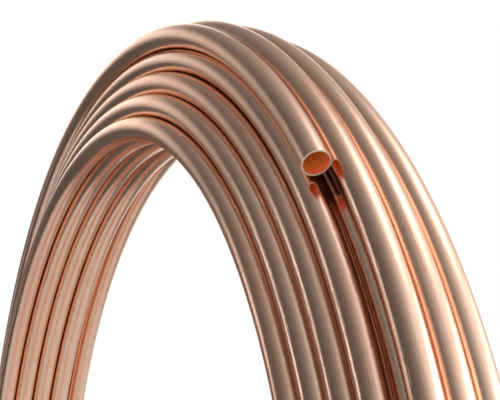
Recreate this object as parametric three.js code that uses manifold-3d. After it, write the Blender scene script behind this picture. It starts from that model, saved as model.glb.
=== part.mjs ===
// A ring of soft copper tube, wound in five layers and standing on its rim.
// The wound turns are one turned solid with the bore of the ring through it.
// The last turn lies by itself at the near corner of the rim. It ends open, up
// on one side, and at the bottom it sinks in between two other turns.
// Millimetres, +Z up, the axis of the ring along Y, the near face towards -Y.
// The origin is on the floor, under the middle of the ring.
import * as THREE from "three";
import { mergeVertices } from "three/addons/utils/BufferGeometryUtils.js";
import Module from "manifold-3d";

// Sizes
const TUBE_D = 15.88;
const TUBE_WALL = 1;
const BORE_D = 645; // free opening of the ring
const LAYER_TURNS = [4, 5, 5, 4]; // whole layers, from the innermost one out
const TURN_GAP = 0.1; // between turns, along the axis
const LAYER_OUT = 15.4; // layer to layer, away from the axis
const LAYER_ALONG = 5.4; // layer to layer, away from the near face
const TOP_TURNS = 3; // whole turns of the outermost layer
const TOP_GAP = 1.3; // between those turns
const TOP_OUT = 19.7; // that layer above the layer under it
const TOP_ALONG = 28.6; // its first whole turn, from the very first turn
const LAST_GAP = 0.4; // between the last turn and the corners of its neighbours
const LAST_SPRING = 1.6; // how far the free end springs out
const SPRING_TURN = 25; // degrees over which it does
const END_ANGLE = 40.5; // free end, in degrees above the horizontal
const SINK_ANGLE = 255; // where the last turn leaves its place
const SINK_TURN = 45; // degrees that it takes to sink
const AROUND = 56; // flats round the ring, a multiple of four
const SIDES = 10; // flats round the tube

const R = TUBE_D / 2;
const FIRST_R = BORE_D / 2 + R;
const LAYERS = LAYER_TURNS.length;
const UNDER_R = FIRST_R + (LAYERS - 1) * LAYER_OUT;
const TOP_R = UNDER_R + TOP_OUT;
const RING_R = TOP_R + R;
const FLAT = (2 * Math.PI) / AROUND;

// Centre of a turn in the section of the ring: x away from the axis, y along it
function turn(layer, n) {
  const along = layer * LAYER_ALONG + n * (TUBE_D + TURN_GAP);
  return new THREE.Vector2(FIRST_R + layer * LAYER_OUT, along);
}

function topTurn(n) {
  return new THREE.Vector2(TOP_R, TOP_ALONG + n * (TUBE_D + TOP_GAP));
}

// The turns that show, in order round the section: near face, rim, far face, bore
function shownTurns() {
  const list = [];
  for (let layer = 0; layer < LAYERS; layer++) list.push(turn(layer, 0));
  list.push(turn(LAYERS - 1, 1));
  for (let n = 0; n < TOP_TURNS; n++) list.push(topTurn(n));
  for (let layer = LAYERS - 1; layer > 0; layer--) list.push(turn(layer, LAYER_TURNS[layer] - 1));
  for (let n = LAYER_TURNS[0] - 1; n > 0; n--) list.push(turn(0, n));
  return list;
}

function corner(radius, k) {
  const angle = ((k + 0.5) * 2 * Math.PI) / SIDES;
  const reach = radius / Math.cos(Math.PI / SIDES);
  return new THREE.Vector2(reach * Math.cos(angle), reach * Math.sin(angle));
}

// Turns that lie well apart leave an open gap, the others meet in a groove
function isOpen(step) {
  return step.length() > 1.15 * TUBE_D;
}

// The outline of one turn from the turn before it round to the turn after it
function turnOutline(before, here, after) {
  const toBefore = before.clone().sub(here);
  const toAfter = after.clone().sub(here);
  const start = toBefore.angle();
  const whole = 2 * Math.PI;
  const end = start + ((toAfter.angle() - start + whole) % whole);
  const margin = (0.6 * whole) / SIDES;
  const points = [];
  if (isOpen(toBefore)) points.push(here.clone().add(toBefore.setLength(R)));
  for (let k = 0; k < 2 * SIDES; k++) {
    const angle = ((k + 0.5) * whole) / SIDES;
    const shows = angle > start + margin && angle < end - margin;
    if (shows) points.push(here.clone().add(corner(R, k)));
  }
  const reach = isOpen(toAfter) ? R : toAfter.length() / 2;
  points.push(here.clone().add(toAfter.setLength(reach)));
  return points;
}

function sectionOutline() {
  const turns = shownTurns();
  const points = [];
  turns.forEach((here, i) => {
    const after = turns[(i + 1) % turns.length];
    points.push(...turnOutline(turns.at(i - 1), here, after));
  });
  points.push(points[0].clone());
  return points;
}

// How far a point of the flat ring lies outside the true circle at this angle
function spread(angle) {
  const middle = Math.round(angle / FLAT) * FLAT;
  return 1 / Math.cos(angle - middle);
}

function ringGeometry() {
  const profile = sectionOutline().map((p) => new THREE.Vector2(p.x * spread(FLAT / 2), p.y));
  return new THREE.LatheGeometry(profile, AROUND, FLAT / 2);
}

// The place on the near side that is as far from turn a as from turn b
function seatBetween(a, b, distance) {
  const half = b.clone().sub(a).multiplyScalar(0.5);
  const aside = new THREE.Vector2(half.y, -half.x);
  aside.setLength(Math.sqrt(distance ** 2 - half.lengthSq()));
  return a.clone().add(half).add(aside);
}

const CLEAR = 2 * corner(R, 0).length() + LAST_GAP;
const LAST_SEAT = seatBetween(turn(LAYERS - 1, 0), topTurn(0), CLEAR);
const SUNK_SEAT = topTurn(0).lerp(topTurn(1), 0.6).sub(new THREE.Vector2(0.65 * TUBE_D, 0));

function lastTurnCentre(degrees) {
  const sunk = THREE.MathUtils.smoothstep(degrees, SINK_ANGLE, SINK_ANGLE + SINK_TURN);
  const held = THREE.MathUtils.smoothstep(degrees, END_ANGLE, END_ANGLE + SPRING_TURN);
  const spring = new THREE.Vector2(LAST_SPRING * (1 - held), 0);
  return LAST_SEAT.clone().lerp(SUNK_SEAT, sunk).add(spring);
}

// Angles of the corners of the ring's flats between two angles, with both ends
function stations(from, to) {
  const flat = THREE.MathUtils.radToDeg(FLAT);
  const list = [from];
  for (let k = Math.ceil(from / flat - 0.5); (k + 0.5) * flat < to; k++) {
    const angle = (k + 0.5) * flat;
    if (angle - from > 0.2 * flat && to - angle > 0.2 * flat) list.push(angle);
  }
  list.push(to);
  return list;
}

// A straight round bar, bent round the ring along the centre line of the last turn
function lastTurnGeometry(radius, from, to) {
  const angles = stations(from, to);
  const steps = angles.length - 1;
  const corners = Array.from({ length: SIDES }, (_, k) => corner(radius, k));
  const bar = new THREE.Shape(corners);
  const geometry = new THREE.ExtrudeGeometry(bar, { depth: steps, steps, bevelEnabled: false });
  const position = geometry.getAttribute("position");
  for (let i = 0; i < position.count; i++) {
    const degrees = angles[Math.round(position.getZ(i))];
    const angle = THREE.MathUtils.degToRad(degrees);
    const centre = lastTurnCentre(degrees);
    const out = (centre.x + position.getX(i)) * spread(angle);
    const along = centre.y + position.getY(i);
    position.setXYZ(i, out * Math.cos(angle), along, out * Math.sin(angle));
  }
  return geometry;
}

const wasm = await Module();
wasm.setup();

function toSolid(geometry) {
  const bare = new THREE.BufferGeometry();
  bare.setAttribute("position", geometry.getAttribute("position"));
  bare.setIndex(geometry.getIndex());
  const welded = mergeVertices(bare, 1e-3);
  const index = [...welded.getIndex().array];
  const triVerts = [];
  for (let i = 0; i < index.length; i += 3) {
    const [a, b, c] = index.slice(i, i + 3);
    if (a !== b && b !== c && c !== a) triVerts.push(a, b, c);
  }
  const vertProperties = new Float32Array(welded.getAttribute("position").array);
  const mesh = new wasm.Mesh({ numProp: 3, vertProperties, triVerts: new Uint32Array(triVerts) });
  return new wasm.Manifold(mesh);
}

function toGeometry(solid) {
  const mesh = solid.getMesh();
  const geometry = new THREE.BufferGeometry();
  geometry.setAttribute("position", new THREE.BufferAttribute(mesh.vertProperties, 3));
  geometry.setIndex(new THREE.BufferAttribute(mesh.triVerts, 1));
  return geometry;
}

function coilSolid() {
  const wound = toSolid(ringGeometry());
  const last = toSolid(lastTurnGeometry(R, END_ANGLE, SINK_ANGLE + SINK_TURN));
  const mouth = END_ANGLE - 1;
  const inside = toSolid(lastTurnGeometry(R - TUBE_WALL, mouth, SINK_ANGLE));
  return wound.add(last).subtract(inside);
}

const copper = new THREE.MeshStandardMaterial({
  name: "soft copper",
  color: new THREE.Color().setRGB(0.9, 0.62, 0.45, THREE.SRGBColorSpace),
  roughness: 0.25,
  metalness: 1,
});

const coil = new THREE.Mesh(toGeometry(coilSolid()), copper);
const alongs = sectionOutline().map((p) => p.y);
coil.name = "copper_tube_coil";
coil.position.set(0, -(Math.min(...alongs) + Math.max(...alongs)) / 2, RING_R);

const part = new THREE.Group();
part.name = "copper_tube_ring";
part.add(coil);

export default part;
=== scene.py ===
# %% [markdown]
# # A coil of soft copper tube
#
# Soft copper tube for water, gas and cooling lines leaves the mill as one long length, annealed and
# wound layer over layer into a ring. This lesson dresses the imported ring. The CAD solid stands for
# the wound turns, and here the same ring is built as what it is: one tube that can be followed by
# eye from its free end to the other.
#
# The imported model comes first, because it fixes the frame, the size and the place of everything.

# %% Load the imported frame
import math

import bmesh
import bpy
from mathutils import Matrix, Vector


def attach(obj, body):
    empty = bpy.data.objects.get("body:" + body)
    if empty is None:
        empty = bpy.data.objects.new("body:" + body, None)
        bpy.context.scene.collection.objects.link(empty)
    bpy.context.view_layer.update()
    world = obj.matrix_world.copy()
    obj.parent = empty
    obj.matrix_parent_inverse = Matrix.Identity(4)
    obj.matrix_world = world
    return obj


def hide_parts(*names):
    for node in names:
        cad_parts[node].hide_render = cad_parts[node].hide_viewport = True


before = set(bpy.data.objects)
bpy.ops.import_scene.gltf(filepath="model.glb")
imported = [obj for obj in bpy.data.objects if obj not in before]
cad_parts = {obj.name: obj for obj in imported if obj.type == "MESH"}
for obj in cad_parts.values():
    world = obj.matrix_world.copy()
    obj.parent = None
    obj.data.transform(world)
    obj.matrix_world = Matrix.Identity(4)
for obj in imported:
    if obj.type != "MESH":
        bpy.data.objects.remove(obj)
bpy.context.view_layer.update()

# %% [markdown]
# ## The camera
#
# It stands to the right of the ring, a little in front of its near face and above its middle, and
# looks slightly upward along the ring, so the near face, the rim and the inside of the bore all
# show. The lens is a long one, which keeps the turns almost parallel.

# %% Place the camera
CAMERA_AT = (0.82009, -0.28723, 0.52745)
CAMERA_LOOKS = (-0.89846, 0.39616, 0.18929)
LENS_MM = 88.58
SENSOR_MM = 36

scene = bpy.context.scene
scene.view_settings.view_transform = "Standard"


def add(name, data):
    """Puts a new object into the scene."""
    made = bpy.data.objects.new(name, data)
    scene.collection.objects.link(made)
    return made


def aim(thing, direction):
    """Turns a camera or a lamp, which looks along its own -Z, along a direction."""
    thing.rotation_euler = Vector(direction).to_track_quat("-Z", "Y").to_euler()


camera = add("camera", bpy.data.cameras.new("camera"))
camera.location = CAMERA_AT
camera.data.lens = LENS_MM
camera.data.sensor_width = SENSOR_MM
aim(camera, CAMERA_LOOKS)
scene.camera = camera
print("camera", tuple(round(v, 3) for v in camera.location), "lens", LENS_MM)

# %% [markdown]
# ## The route of the tube
#
# A coil like this is wound from the inside out. The winding starts towards the far side of the
# bore. The turns lie beside each other until the near side is reached, and then the tube climbs
# onto them and goes back, layer over layer. Every turn is almost a true circle, and the tube
# steps over to its next place in one short stretch at the bottom.
#
# A single helix would be shorter to write, but its turns would lean, and they would not lie in
# the hollows of the layer below. So each place is listed: the centre of a turn in the ring's
# cross-section, measured in tube diameters, as how far it is from the axis and how far it is
# behind the turn nearest to the front, first_a. The list runs from the free outer end inwards, so
# each turn hands over to the next line.

# %% Where each turn lies
TUBE_D = 0.01588
TUBE_WALL = 0.001
AXIS_UP = 0.40428  # the ring's axis above the floor
NEAR_TURN_Y = -0.03736  # the centre of first_a

PLACES = [
    ("last", 24.690, 0.880),
    ("top_a", 24.950, 1.845),
    ("top_b", 24.895, 2.860),
    ("top_c", 24.614, 3.976),
    ("fourth_d", 23.620, 4.160),
    ("fourth_c", 23.690, 3.080),
    ("fourth_b", 23.710, 2.060),
    ("fourth_a", 23.695, 1.032),
    ("third_a", 22.712, 0.688),
    ("third_b", 22.706, 1.688),
    ("third_c", 22.706, 2.689),
    ("third_d", 22.706, 3.690),
    ("third_e", 22.700, 4.690),
    ("second_e", 21.700, 4.340),
    ("second_d", 21.750, 3.338),
    ("second_c", 21.773, 2.338),
    ("second_b", 21.773, 1.338),
    ("second_a", 21.773, 0.338),
    ("first_a", 20.801, 0.000),
    ("first_b", 20.801, 1.030),
    ("first_c", 20.801, 2.045),
    ("first_d", 20.801, 3.060),
]
LAST_PLACE = len(PLACES) - 1
print("places", len(PLACES))

# %% [markdown]
# A turn can only move into a place that its neighbour has left. So the steps are staggered round
# the bottom: the innermost layer's come first, then the climb to the next layer, then that layer's
# own, and so on to the outermost. Angles run from the horizontal at the right, over the top, in
# degrees.

# %% Where the tube steps over
LAYERS = ("first", "second", "third", "fourth", "top")
STEP_TURN = 26.0  # degrees that one step takes
STEP_LAG = 11.3  # degrees by which the next kind of step follows
FIRST_STEP = 228.0  # the middle of the innermost layer's steps


def layer_of(name):
    """The number of a place's layer. The last turn lies in the top one."""
    return LAYERS.index("top" if name == "last" else name.split("_")[0])


def step_angle(k):
    """The middle of the step from place k to the next one."""
    here, there = layer_of(PLACES[k][0]), layer_of(PLACES[k + 1][0])
    return FIRST_STEP + STEP_LAG * (here + there)


STEPS = [step_angle(k) + 360 * k for k in range(LAST_PLACE)]
print("steps", len(STEPS), "from", round(STEPS[0], 1), "to", round(STEPS[-1], 1), "degrees")

# %% [markdown]
# Between two places the tube moves over smoothly. Soft tube bends but doesn't kink, so the curve
# starts and ends without any sudden bend, which a straight line between the places would have.

# %% Pass from place to place
def smoother(x):
    """A climb from 0 to 1 that starts and ends without a bend."""
    x = min(1.0, max(0.0, x))
    return x * x * x * (x * (6 * x - 15) + 10)


def place_at(degrees):
    """How far the tube's centre is from the axis and behind first_a, in diameters."""
    out, back = PLACES[0][1], PLACES[0][2]
    for k, middle in enumerate(STEPS):
        share = smoother((degrees - middle) / STEP_TURN + 0.5)
        out += share * (PLACES[k + 1][1] - PLACES[k][1])
        back += share * (PLACES[k + 1][2] - PLACES[k][2])
    return out, back


print("place at the top of the first turn", place_at(90))

# %% [markdown]
# Soft tube keeps every small push of the winding, and a free end springs out a little when it is
# cut. Perfect circles would look like a drawing of a coil, so both are added to the places.

# %% Let the winding show
FREE_END = 40.05
INNER_END = 196.0
ROUTE_END = INNER_END + 360 * LAST_PLACE
SPRING = 0.10  # how far the free end springs out, in diameters
SPRING_TURN = 26.0  # degrees over which it does

# Two waves each way: their height in diameters, how many go into a turn, and where they start.
WAVES_OUT = ((0.006, 2.31, 0.7), (0.004, 5.17, 2.1))
WAVES_BACK = ((0.006, 1.73, 1.9), (0.004, 4.41, 0.3))


def waves(pair, t):
    """Two waves added up at the angle t, in diameters."""
    slow, quick = (height * math.sin(often * t + start) for height, often, start in pair)
    return slow + quick


def smooth(x):
    """A climb from 0 to 1 that starts and ends level."""
    x = min(1.0, max(0.0, x))
    return x * x * (3 - 2 * x)


def centre(degrees):
    """The middle of the tube at an angle of the route, in metres."""
    out, back = place_at(degrees)
    t = math.radians(degrees)
    out += waves(WAVES_OUT, t) + SPRING * (1 - smooth((degrees - FREE_END) / SPRING_TURN))
    back += waves(WAVES_BACK, t)
    radius = out * TUBE_D
    return Vector((
        radius * math.cos(t),
        NEAR_TURN_Y + back * TUBE_D,
        AXIS_UP + radius * math.sin(t),
    ))


print("free end at", tuple(round(v, 4) for v in centre(FREE_END)))

# %% [markdown]
# The route is walked in stretches of about 14 mm. The middle of such a stretch lies less than
# 0.1 mm off the true curve, so the outline stays round, and the mesh stays light to work with.

# %% Walk the route
STATION_TURN = 2.25  # degrees between stations, before rounding
STRETCHES = round((ROUTE_END - FREE_END) / STATION_TURN)
ANGLES = [FREE_END + (ROUTE_END - FREE_END) * i / STRETCHES for i in range(STRETCHES + 1)]
ROUTE = [centre(a) for a in ANGLES]
TUBE_LENGTH = sum((b - a).length for a, b in zip(ROUTE, ROUTE[1:]))
print("stations", len(ROUTE), "tube length", round(TUBE_LENGTH, 2), "m")

# %% [markdown]
# ## Sweeping the tube
#
# A curve object with a round bevel could make this tube too, but its section may twist, and it
# gives no hollow end. So a round section is carried along the route in mesh code. At each station
# one direction of the section points away from the ring's axis and the other lies square to it and
# to the tube, so the section never twists.

# %% Draw a round section
SIDES = 24
R_OUT = TUBE_D / 2
R_IN = R_OUT - TUBE_WALL


def axes_at(i):
    """The tube's direction at station i, and the two directions of its section."""
    before, after = ROUTE[max(i - 1, 0)], ROUTE[min(i + 1, STRETCHES)]
    along = (after - before).normalized()
    out = ROUTE[i] - Vector((0, ROUTE[i].y, AXIS_UP))
    out = (out - along * out.dot(along)).normalized()
    return along, out, out.cross(along).normalized()


def section(i, radius, shift=0.0):
    """The points of the round section at station i, moved along the tube by shift."""
    along, out, side = axes_at(i)
    middle = ROUTE[i] + along * shift
    points = []
    for k in range(SIDES):
        a = 2 * math.pi * k / SIDES
        points.append(middle + (out * math.cos(a) + side * math.sin(a)) * radius)
    return points


print("section of", SIDES, "sides,", round(R_OUT * 1000, 2), "mm outside,",
      round(R_IN * 1000, 2), "mm inside")

# %% [markdown]
# The faces carry a map in metres, once round the tube and once along it. Drawn tube has its grain
# lengthwise, so the copper's marks need to know which way the tube runs. Each face also says
# whether it is inside the tube or part of a cut end: a cut end is finished differently, and the
# inside carries painted bounce light instead of bare copper.

# %% Join sections into a skin
class Tube:
    """Rings of points joined into a skin, with a map in metres on its faces."""

    def __init__(self):
        self.mesh = bmesh.new()
        self.map = self.mesh.loops.layers.uv.new("round_and_along")
        self.inside = self.mesh.faces.layers.float.new("inside_raw")
        self.cut = self.mesh.faces.layers.float.new("cut_raw")

    def ring(self, points):
        return [self.mesh.verts.new(p) for p in points]

    def join(self, a, b, radius, along_a, along_b, inside=0.0, cut=0.0, flip=False):
        """A band of faces between two rings. A cut band has sharp edges."""
        step = 2 * math.pi * radius / SIDES
        for k in range(SIDES):
            n = (k + 1) % SIDES
            corners = [
                (a[k], k, along_a),
                (a[n], k + 1, along_a),
                (b[n], k + 1, along_b),
                (b[k], k, along_b),
            ]
            if flip:
                corners.reverse()
            face = self.mesh.faces.new([c[0] for c in corners])
            face.smooth = True
            face[self.inside] = inside
            face[self.cut] = cut
            for loop, (_, turn, along) in zip(face.loops, corners):
                loop[self.map].uv = (turn * step, along)
            if cut:
                self.mesh.edges.get((a[k], a[n])).smooth = False
                self.mesh.edges.get((b[k], b[n])).smooth = False

    def cap(self, a, flip):
        """Closes the far end of a bore."""
        face = self.mesh.faces.new(a if flip else list(reversed(a)))
        face[self.inside] = 1.0


print("skin ready, with its map and two marks for each face")

# %% [markdown]
# The tube is hollow, and a cut end is where the eye checks that. Each end shows its wall, with the
# corners just broken, and the bore goes on inside for far longer than an eye can look in. A dark
# disc in the mouth would be less work, but it would show as one from the side.

# %% Cut the ends and bore them
BROKEN = 0.00012  # the broken corner of a cut end
BORE_DEEP = 0.32  # how far the bore is built in from each end


def build_end(tube, skin, i, inward, along):
    """The cut face and the bore at one end. inward is +1 where the route leads away from it."""
    flip = inward < 0
    lip = tube.ring(section(i, R_OUT - BROKEN))
    rim = tube.ring(section(i, R_IN + BROKEN))
    mouth = tube.ring(section(i, R_IN, inward * BROKEN))
    for inner, outer, radius in ((lip, skin, R_OUT), (rim, lip, R_OUT), (mouth, rim, R_IN)):
        tube.join(inner, outer, radius, along, along, cut=1.0, flip=flip)
    last, travelled, k = mouth, 0.0, i
    while travelled < BORE_DEEP:
        travelled += (ROUTE[k + inward] - ROUTE[k]).length
        k += inward
        ring = tube.ring(section(k, R_IN))
        tube.join(ring, last, R_IN, along, along + inward * travelled, inside=1.0, flip=flip)
        last = ring
    tube.cap(last, flip)


print("ends have a wall of", TUBE_WALL * 1000, "mm and a bore of", BORE_DEEP, "m")

# %% [markdown]
# Last, the section is carried along the whole route, both ends are cut and bored, and the tube
# takes the place of the CAD solid. It rides on the root body, because nothing on a coil moves.

# %% Wind the coil
def build_tube():
    tube = Tube()
    first = tube.ring(section(0, R_OUT, BROKEN))
    last, along = first, 0.0
    for i in range(1, STRETCHES + 1):
        here = tube.ring(section(i, R_OUT, -BROKEN if i == STRETCHES else 0.0))
        step = (ROUTE[i] - ROUTE[i - 1]).length
        tube.join(last, here, R_OUT, along, along + step)
        last, along = here, along + step
    build_end(tube, first, 0, 1, 0.0)
    build_end(tube, last, STRETCHES, -1, along)
    return tube


def make_coil():
    tube = build_tube()
    bmesh.ops.recalc_face_normals(tube.mesh, faces=tube.mesh.faces)
    data = bpy.data.meshes.new("wound_tube")
    tube.mesh.to_mesh(data)
    tube.mesh.free()
    return add("wound_tube", data)


coil = make_coil()
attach(coil, "root")
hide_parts("copper_tube_coil")
triangles = sum(len(face.vertices) - 2 for face in coil.data.polygons)
print("wound tube", len(coil.data.polygons), "faces,", triangles, "triangles")

# %% [markdown]
# ## Writing materials as sums
#
# Materials are easier to read as formulas than as boxes and wires. `Signal` wraps one output of a
# node tree, so that numbers can be added and multiplied with the usual signs. Colours and vectors
# go through Mix and Vector Math, and `node` adds any other node.

# %% A small language for node trees
class Signal:
    """One output socket of a node tree, with arithmetic."""

    def __init__(self, tree, socket=None):
        self.tree = tree
        self.socket = socket

    def node(self, kind, settings=None, inputs=None, output=0):
        """Adds a node: its settings first, then the values or links of its sockets."""
        made = self.tree.nodes.new(kind)
        for name, value in (settings or {}).items():
            setattr(made, name, value)
        for name, value in (inputs or {}).items():
            if isinstance(value, Signal):
                self.tree.links.new(value.socket, made.inputs[name])
            else:
                made.inputs[name].default_value = value
        return Signal(self.tree, made.outputs[output])

    def beside(self, output):
        """Another output of the same node."""
        return Signal(self.tree, self.socket.node.outputs[output])

    def feed(self, node, name):
        self.tree.links.new(self.socket, node.inputs[name])

    def math(self, operation, *others):
        inputs = dict(enumerate((self, *others)))
        return self.node("ShaderNodeMath", {"operation": operation}, inputs)

    def __add__(self, other):
        return self.math("ADD", other)

    def __sub__(self, other):
        return self.math("SUBTRACT", other)

    def __rsub__(self, other):
        return self * -1.0 + other

    def __mul__(self, other):
        return self.math("MULTIPLY", other)

    __radd__ = __add__
    __rmul__ = __mul__

    def vector_math(self, operation, other, output=0):
        inputs = {0: self, 1: other}
        return self.node("ShaderNodeVectorMath", {"operation": operation}, inputs, output)

    def axis(self, letter):
        """One coordinate of a vector."""
        return self.node("ShaderNodeSeparateXYZ", None, {"Vector": self}, letter)

    def ramp(self, start, end):
        """A smooth climb from 0 at start to 1 at end."""
        settings = {"interpolation_type": "SMOOTHSTEP", "clamp": True}
        inputs = {"Value": self, "From Min": start, "From Max": end, "To Min": 0.0, "To Max": 1.0}
        return self.node("ShaderNodeMapRange", settings, inputs)

    def mix_colour(self, below, above):
        """The colour below where this signal is 0, and the colour above where it is 1."""
        settings, inputs = {"data_type": "RGBA"}, {0: self, 6: below, 7: above}
        return self.node("ShaderNodeMix", settings, inputs, 2)

    def mix_shader(self, below, above):
        """The finish below where this signal is 0, and the finish above where it is 1."""
        return self.node("ShaderNodeMixShader", None, {0: self, 1: below, 2: above})


def begin(tree, kind, settings=None, inputs=None, output=0):
    """The first signal of a tree, from a node that needs no other signal."""
    return Signal(tree).node(kind, settings, inputs, output)


print("signal language ready")

# %% [markdown]
# ## The copper
#
# Mill-finish copper is bright, but it isn't a mirror. The drawing die leaves fine lines along the
# tube, annealing leaves a satin grain, and handling leaves soft patches that are a little duller
# and redder. All of it runs lengthwise, so the noise is stretched along the map of the tube.

# %% Draw the marks
MARKS = {  # marks to the metre round and along the tube, their detail, and how rough it is
    "patches": (60, 5, 3, 0.55),
    "lines": (2600, 24, 2, 0.6),
    "grain": (1500, 500, 2, 0.7),
    "brush": (1000, 12, 3, 0.65),
}
PATCH_EDGE = (0.42, 0.72)  # where in its noise a patch starts and is full


def tube_map(tree):
    """Metres round the tube and along it."""
    return begin(tree, "ShaderNodeUVMap", {"uv_map": "round_and_along"})


def marks(tree, kind):
    """Noise from 0 to 1 that makes one kind of mark."""
    round_scale, along_scale, detail, rough = MARKS[kind]
    place = tube_map(tree).vector_math("MULTIPLY", (round_scale, along_scale, 1.0))
    inputs = {"Vector": place, "Scale": 1.0, "Detail": detail, "Roughness": rough}
    return place.node("ShaderNodeTexNoise", {"noise_dimensions": "2D"}, inputs)


print("kinds of mark:", ", ".join(MARKS))

# %% [markdown]
# A cut end is paler and duller than the skin, because the fine scratches of the cutter scatter the
# light. So it counts as metal only by half.
#
# The bore is harder. Light that goes in comes out after many bounces from wall to wall, and each
# bounce deepens its colour. A bright metal bore would need far more bounces than a render traces,
# and comes out black. So the inside is a matt colour instead, orange at the mouth and redder with
# depth, which is a stand-in for all those bounces and not copper's own colour.

# %% Colour the copper and paint light into the bore
BRIGHT_COPPER = (0.955, 0.64, 0.485, 1.0)
HANDLED_COPPER = (0.93, 0.58, 0.42, 1.0)
CUT_COPPER = (0.90, 0.70, 0.58, 1.0)
# The two bore colours are painted bounce light, orange at the mouth and redder with depth, not
# copper's own colour.
MOUTH_BOUNCE_LIGHT = (1.0, 0.45, 0.08, 1.0)
DEEP_BOUNCE_LIGHT = (1.0, 0.11, 0.045, 1.0)
MOUTH_TO_DEEP = (0.002, 0.020)  # depths between which one turns into the other, in metres


def face_mark(tree, name):
    """1 on the faces that carry a mark, and 0 elsewhere."""
    return begin(tree, "ShaderNodeAttribute", {"attribute_name": name}, output="Fac")


def copper_and_bounce_colour(tree, patches, inside, cut):
    skin = patches.mix_colour(BRIGHT_COPPER, HANDLED_COPPER)
    skin = cut.mix_colour(skin, CUT_COPPER)
    along = tube_map(tree).axis("Y")
    depth = along.math("MINIMUM", TUBE_LENGTH - along)
    # Painted bounce light inside the bore, turning from the mouth colour to the deep one with depth.
    bore = depth.ramp(*MOUTH_TO_DEEP).mix_colour(MOUTH_BOUNCE_LIGHT, DEEP_BOUNCE_LIGHT)
    return inside.mix_colour(skin, bore)


print("colour turns from mouth to deep between", MOUTH_TO_DEEP, "m")

# %% [markdown]
# What isn't colour comes next: how sharply the surface mirrors, and its relief. Both are built from
# the same marks, so a drawn line is duller and deeper in the same place.
#
# Copper seen at a grazing angle mirrors almost everything but keeps a little warmth. That is the
# same everywhere, so it is set on the shader's own socket.

# %% Finish the copper
CUT_LOSES = 0.5  # how much of its metal look a cut face loses
ROUGHNESS = {
    "clean": 0.08, "patches": 0.07, "lines": 0.06, "brush": 0.10, "inside": 0.30, "cut": 0.35,
}
RELIEF = {"brush": 0.5, "lines": 0.25, "grain": 0.25}
BUMP = {"Strength": 0.45, "Distance": 0.0003}
GRAZING_TINT = (0.98, 0.87, 0.80, 1.0)


def copper():
    made = bpy.data.materials.new("copper")
    made.use_nodes = True
    tree = made.node_tree
    shader = tree.nodes["Principled BSDF"]
    patches = marks(tree, "patches").ramp(*PATCH_EDGE)
    lines, grain, brush = (marks(tree, kind) for kind in ("lines", "grain", "brush"))
    inside, cut = (face_mark(tree, name) for name in ("inside_raw", "cut_raw"))
    copper_and_bounce_colour(tree, patches, inside, cut).feed(shader, "Base Color")
    (1.0 - inside - cut * CUT_LOSES).feed(shader, "Metallic")
    roughness = ROUGHNESS["clean"] + ROUGHNESS["patches"] * patches
    roughness = roughness + ROUGHNESS["lines"] * lines + ROUGHNESS["brush"] * brush
    roughness = roughness + ROUGHNESS["inside"] * inside + ROUGHNESS["cut"] * cut
    roughness.feed(shader, "Roughness")
    shader.inputs["Specular Tint"].default_value = GRAZING_TINT
    height = brush * RELIEF["brush"] + lines * RELIEF["lines"] + grain * RELIEF["grain"]
    height.node("ShaderNodeBump", None, {"Height": height, **BUMP}).feed(shader, "Normal")
    return made


coil.data.materials.append(copper())
print("copper on", coil.name, "with", len(coil.active_material.node_tree.nodes), "nodes")

# %% [markdown]
# ## The studio
#
# Polished metal shows what stands around it, so the studio is built as a real one, and what the
# camera sees of it the copper sees too. The ring stands on a pale floor, a white sweep hangs behind
# it, and four soft boxes light it. The room itself is plain grey and lit from the back right, so it
# falls off smoothly towards the front left. It is nowhere brighter than white, because a
# highlight is the work of a lamp.
#
# Matt surfaces get one plain even level instead of that room, so a colour renders about as it is
# written. Everything here is neutral, so the colour is the copper's own.

# %% Light the room
WHITE = (1, 1, 1, 1)
LIGHT_FROM = (0.505, 0.808, 0.303)  # from the ring towards the brightest side of the room
ROOM_FALL = 1.9  # how quickly the room darkens away from there
ROOM_GLOW = 0.24
ROOM_DARKEST = 0.05
EVEN_LEVEL = 0.95  # what matt surfaces get


def looked_at(tree):
    """1 for the rays that look at a thing: the camera's, and those of gloss and glass alike."""
    seen = begin(tree, "ShaderNodeLightPath", output="Is Camera Ray")
    gloss, glass = seen.beside("Is Glossy Ray"), seen.beside("Is Transmission Ray")
    return seen.math("MAXIMUM", gloss).math("MAXIMUM", glass)


def studio():
    made = bpy.data.worlds.new("studio")
    made.use_nodes = True
    tree = made.node_tree
    way = begin(tree, "ShaderNodeTexCoord", output="Generated")
    towards_light = way.vector_math("DOT_PRODUCT", LIGHT_FROM, output="Value")
    room = (towards_light * ROOM_FALL).math("EXPONENT") * ROOM_GLOW + ROOM_DARKEST
    room = room.math("MINIMUM", 1.0)
    seen = looked_at(tree)
    background = tree.nodes["Background"]
    background.inputs["Color"].default_value = WHITE
    (room * seen + (1.0 - seen) * EVEN_LEVEL).feed(background, "Strength")
    return made


scene.world = studio()
print("room lit,", len(scene.world.node_tree.nodes), "nodes")

# %% [markdown]
# ## The floor and the sweep
#
# The floor is a disc of plain pale paint. It keeps the ring's shadow, and the turns that face down
# show it.

# %% Lay the floor
PALE = (0.56, 0.56, 0.56, 1)
MATT = 0.9
FLOOR_RADIUS = 0.9
FLOOR_STEPS = 96


def matt_paint(name):
    made = bpy.data.materials.new(name)
    made.use_nodes = True
    shader = made.node_tree.nodes["Principled BSDF"]
    shader.inputs["Base Color"].default_value = PALE
    shader.inputs["Roughness"].default_value = MATT
    return made


def stage(name, points, faces, material):
    """Adds a part of the studio, which is no part of the coil."""
    data = bpy.data.meshes.new(name)
    data.from_pydata(points, [], faces)
    data.materials.append(material)
    data.shade_smooth()
    made = add(name, data)
    return made


around = [2 * math.pi * step / FLOOR_STEPS for step in range(FLOOR_STEPS)]
stage(
    "floor",
    [(FLOOR_RADIUS * math.cos(turn), FLOOR_RADIUS * math.sin(turn), 0) for turn in around],
    [tuple(range(FLOOR_STEPS))],
    matt_paint("pale_floor"),
)
print("floor", 2 * FLOOR_RADIUS, "m across")

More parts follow.
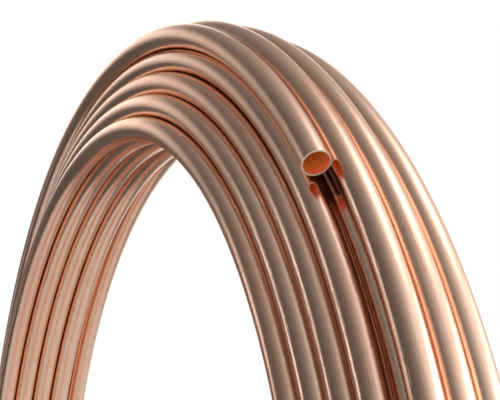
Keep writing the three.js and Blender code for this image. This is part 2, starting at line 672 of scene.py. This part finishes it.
# %% [markdown]
# The sweep is a band of a wide cylinder. It is white where it is looked at, by the camera or in the
# copper, and for the rest it is matt paint, so that it casts no light of its own on the floor. Its
# edges fade into the room, because a hard edge would be drawn again in every turn of the coil.

# %% Paint the sweep
SWEEP_LOW, SWEEP_HIGH = -1.2, 5.2
FADE_LOW, FADE_HIGH = (-1.1, 0.5), (5.0, 2.7)  # clear at the first height, white from the second
FADE_BACK, FADE_FRONT = (0.0, 0.28), (1.0, 0.80)  # the same across the sweep, as shares of it


def sweep_paint(name):
    made = matt_paint(name)
    tree = made.node_tree
    height = begin(tree, "ShaderNodeTexCoord", output="Object").axis("Z")
    across = begin(tree, "ShaderNodeUVMap", {"uv_map": "across"}).axis("X")
    there = height.ramp(*FADE_LOW) * height.ramp(*FADE_HIGH)
    there = there * across.ramp(*FADE_BACK) * across.ramp(*FADE_FRONT)
    matt = Signal(tree, tree.nodes["Principled BSDF"].outputs[0])
    white = begin(tree, "ShaderNodeEmission", None, {"Color": WHITE, "Strength": 1.0})
    clear = begin(tree, "ShaderNodeBsdfTransparent")
    shown = there.mix_shader(clear, looked_at(tree).mix_shader(matt, white))
    shown.feed(tree.nodes["Material Output"], "Surface")
    return made


print("sweep fades between", FADE_LOW, "and", FADE_HIGH, "m")

# %% [markdown]
# The sweep gets a map of its own, which says how far across it a point lies. Its paint reads that
# map to fade the two upright edges.

# %% Hang the sweep
SWEEP_MIDDLE = -120  # degrees round the ring from its near face
SWEEP_HALF = 34  # degrees to each side of the middle
SWEEP_AWAY = 4.6
SWEEP_STEPS = 24

points, faces = [], []
for step in range(SWEEP_STEPS + 1):
    turn = math.radians(SWEEP_MIDDLE + SWEEP_HALF * (2 * step / SWEEP_STEPS - 1))
    for height in (SWEEP_LOW, SWEEP_HIGH):
        points.append((SWEEP_AWAY * math.sin(turn), -SWEEP_AWAY * math.cos(turn), height))
    if step:
        faces.append((2 * step - 2, 2 * step, 2 * step + 1, 2 * step - 1))
sweep = stage("sweep", points, faces, sweep_paint("white_sweep"))
across = sweep.data.uv_layers.new(name="across")
for corner in sweep.data.loops:
    column, row = divmod(corner.vertex_index, 2)
    across.data[corner.index].uv = (column / SWEEP_STEPS, row)
print("sweep", len(faces), "panels,", SWEEP_AWAY, "m away")

# %% [markdown]
# ## The soft boxes
#
# A real soft box is brightest in the middle and fades towards its frame, so its reflection in a
# tube is a soft band and not a hard stripe. The largest stands at the back right, where the room is
# brightest, and fades only by about half, so that it passes into the room. One hangs overhead. A
# long one high at the left draws the light line along the top of each turn, and a narrow one at the
# front left keeps the near face from going dark.

# %% Hang the soft boxes
BOXES_FACE = Vector((0, 0, 0.4))  # about the middle of the ring
FRAME, BACK_FRAME = 0.12, 0.55  # how bright a box still is at its frame
FADE_WIDTH = 0.45  # the share of a box over which it fades, from each side

# Name, direction from the ring, metres away, width and height, watts, and brightness at the frame.
SOFT_BOXES = [
    ("back_box", LIGHT_FROM, 3.8, (4.4, 3.0), 78, BACK_FRAME),
    ("overhead_box", (0.20, 0.42, 0.88), 3.0, (2.2, 2.2), 24, FRAME),
    ("long_box", (-0.87, 0.02, 0.50), 3.4, (4.4, 1.9), 34, FRAME),
    ("front_box", (-0.69, -0.69, 0.21), 3.4, (0.9, 2.4), 13, FRAME),
]


def soft_box(name, towards, away, size, watts, edge):
    data = bpy.data.lights.new(name, "AREA")
    data.shape = "RECTANGLE"
    data.size, data.size_y = size
    data.energy = watts
    data.use_nodes = True
    tree = data.node_tree
    place = begin(tree, "ShaderNodeNewGeometry", output="Parametric")
    sides = [place.axis(letter) for letter in ("X", "Y")]
    wide, high = (s.ramp(0.0, FADE_WIDTH) * s.ramp(1.0, 1.0 - FADE_WIDTH) for s in sides)
    (high * wide * (1.0 - edge) + edge).feed(tree.nodes["Emission"], "Strength")
    lamp = add(name, data)
    towards = Vector(towards).normalized()
    lamp.location = BOXES_FACE + towards * away
    aim(lamp, -towards)
    lamp.visible_camera = False


for box in SOFT_BOXES:
    soft_box(*box)
print("soft boxes:", ", ".join(box[0] for box in SOFT_BOXES))
